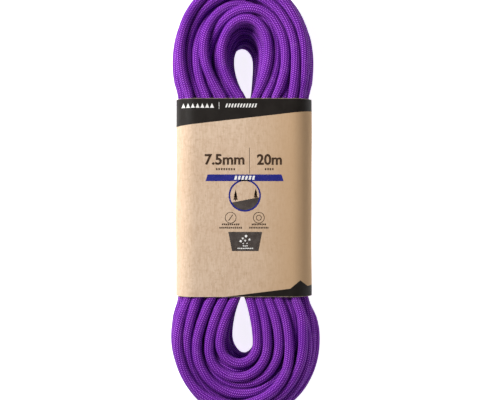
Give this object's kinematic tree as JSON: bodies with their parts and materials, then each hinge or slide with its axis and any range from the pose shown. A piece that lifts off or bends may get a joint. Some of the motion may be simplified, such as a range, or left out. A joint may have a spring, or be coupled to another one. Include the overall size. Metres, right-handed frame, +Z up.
{
  "type": "climbing rope hank",
  "caption": "Thin dynamic climbing rope wound into a two-lobed hank, held at its pinched waist by a wide card band that slides a little along it.",
  "frame": {"origin": "on the floor under the middle of the hank's outer box", "axes": "+Z up out of the hank's front, where the band's printed face is; +Y along the hank towards its thicker upper lobe; +X across it"},
  "size_m": [0.116, 0.343, 0.042],
  "materials": {
    "sheath": "braided",
    "core": "twisted yarn",
    "tape": "thin film",
    "sleeve": "shrunk tube",
    "fused_tip": "melted",
    "card": "matt, printed",
    "glue": "dried"
  },
  "bodies": {
    "rope": {"rope_hank": "sheath", "left_tail_sheath": "sheath", "right_tail_sheath": "sheath", "core_strand_1": "core", "core_strand_2": "core", "core_strand_3": "core", "core_strand_4": "core", "core_strand_5": "core", "core_strand_6": "core", "core_strand_7": "core", "marker_tape": "tape", "left_end_sleeve": "sleeve", "right_end_sleeve": "sleeve", "left_fused_tip": "fused_tip", "right_fused_tip": "fused_tip"},
    "band": {"paper_band": "card", "band_glue": "glue"}
  },
  "joints": [
    {"name": "band_slide", "type": "slide", "parent": "rope", "child": "band", "axis": [0, 1, 0], "range_m": [-0.004, 0.004]}
  ]
}
